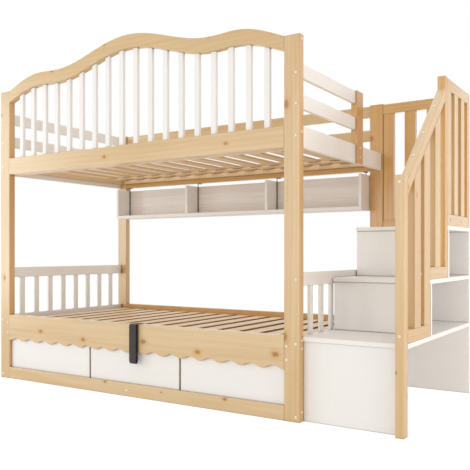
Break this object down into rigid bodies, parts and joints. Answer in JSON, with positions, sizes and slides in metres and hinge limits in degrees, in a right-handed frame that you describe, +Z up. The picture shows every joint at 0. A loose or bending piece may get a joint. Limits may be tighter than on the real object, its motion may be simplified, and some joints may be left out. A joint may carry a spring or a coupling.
{
  "type": "bunk bed with stairs",
  "caption": "Pine and white bunk bed with a wavy front guard, lift-up slatted base over a storage box, hanging rear shelf and a stair cabinet with a slatted railing.",
  "frame": {"origin": "on the floor under the middle of the whole bed's box, stairs, strap and cover caps included", "axes": "+X along the bed from the plain end to the stair end, +Y from the front to the back, +Z up"},
  "size_m": [2.5646, 1.1196, 1.942],
  "materials": {
    "pine": "clear satin lacquer on knotty pine",
    "slat_pine": "bare planed pine",
    "white_timber": "white satin paint on timber",
    "plywood": "bare sanded plywood",
    "black_steel": "black powder coat",
    "steel": "zinc plated",
    "bright_rod": "bright ground",
    "webbing": "woven webbing",
    "cap_plastic": "matt moulded"
  },
  "bodies": {
    "frame": {"front_left_post": "pine", "front_right_post": "pine", "rear_left_post": "pine", "rear_right_post": "pine", "entry_post": "pine", "upper_front_rail": "pine", "wavy_top_rail": "pine", "upper_rear_rail": "pine", "rear_guard_boards": "pine", "lower_front_rail": "pine", "front_floor_rail": "pine", "lower_rear_rail": "pine", "rear_floor_rail": "pine", "stair_newel": "pine", "upper_railing_posts": "pine", "sloping_handrail": "pine", "sloping_rail_slats": "pine", "landing_slats": "pine", "stair_railing_rails": "pine", "rear_stair_rails": "pine", "rear_stair_slats": "pine", "upper_slats": "slat_pine", "upper_slat_ledgers": "slat_pine", "base_cleat": "slat_pine", "panel_stiles": "slat_pine", "storage_bearers": "slat_pine", "guard_spindles": "white_timber", "end_guard_boards": "white_timber", "upper_end_rails": "white_timber", "front_panels": "white_timber", "end_floor_rails": "white_timber", "head_top_rails": "white_timber", "head_low_rails": "white_timber", "head_spindles": "white_timber", "shelf_floor": "white_timber", "shelf_uprights": "white_timber", "shelf_back_boards": "white_timber", "stair_risers": "white_timber", "stair_sides": "white_timber", "stair_back": "white_timber", "stair_treads": "white_timber", "storage_floor": "plywood", "storage_walls": "plywood", "shelf_hangers": "black_steel", "hinge_fixed_leaves": "steel", "hinge_pins": "steel", "strut_box_pins": "steel", "frame_bolts": "steel", "bolt_caps": "cap_plastic"},
    "base": {"base_frame": "slat_pine", "lower_slats": "slat_pine", "hinge_lifting_leaves": "steel", "strap_staple": "steel", "strut_base_pins": "steel"},
    "strap": {"lift_strap": "webbing"},
    "strut_left_tube": {"strut_left_cylinder": "black_steel"},
    "strut_right_tube": {"strut_right_cylinder": "black_steel"},
    "strut_left_piston": {"strut_left_rod": "bright_rod"},
    "strut_right_piston": {"strut_right_rod": "bright_rod"}
  },
  "joints": [
    {"name": "base_lift", "type": "hinge", "parent": "frame", "child": "base", "pos_m": [-0.24075, 0.51125, 0.352], "axis": [-1, 0, 0], "range_deg": [0, 45]},
    {"name": "strap_swing", "type": "hinge", "parent": "base", "child": "strap", "pos_m": [-0.18075, -0.48625, 0.352], "axis": [-1, 0, 0], "range_deg": [-18.5, 0]},
    {"name": "strut_left_swing", "type": "hinge", "parent": "frame", "child": "strut_left_tube", "pos_m": [-1.22375, 0.50125, 0.31], "axis": [-1, 0, 0], "range_deg": [0, 45]},
    {"name": "strut_left_stroke", "type": "slide", "parent": "strut_left_tube", "child": "strut_left_piston", "axis": [0, -1, 0], "range_m": [0, 0.0335]},
    {"name": "strut_right_swing", "type": "hinge", "parent": "frame", "child": "strut_right_tube", "pos_m": [0.74225, 0.50125, 0.31], "axis": [-1, 0, 0], "range_deg": [0, 45]},
    {"name": "strut_right_stroke", "type": "slide", "parent": "strut_right_tube", "child": "strut_right_piston", "axis": [0, -1, 0], "range_m": [0, 0.0335]}
  ],
  "couplings": [
    {"joint": "strap_swing", "follows": "base_lift", "ratio": -0.35},
    {"joint": "strut_left_swing", "follows": "base_lift", "ratio": 0.99218},
    {"joint": "strut_left_stroke", "follows": "base_lift", "m_per_rad": 0.041962},
    {"joint": "strut_right_swing", "follows": "base_lift", "ratio": 0.99218},
    {"joint": "strut_right_stroke", "follows": "base_lift", "m_per_rad": 0.041962}
  ]
}
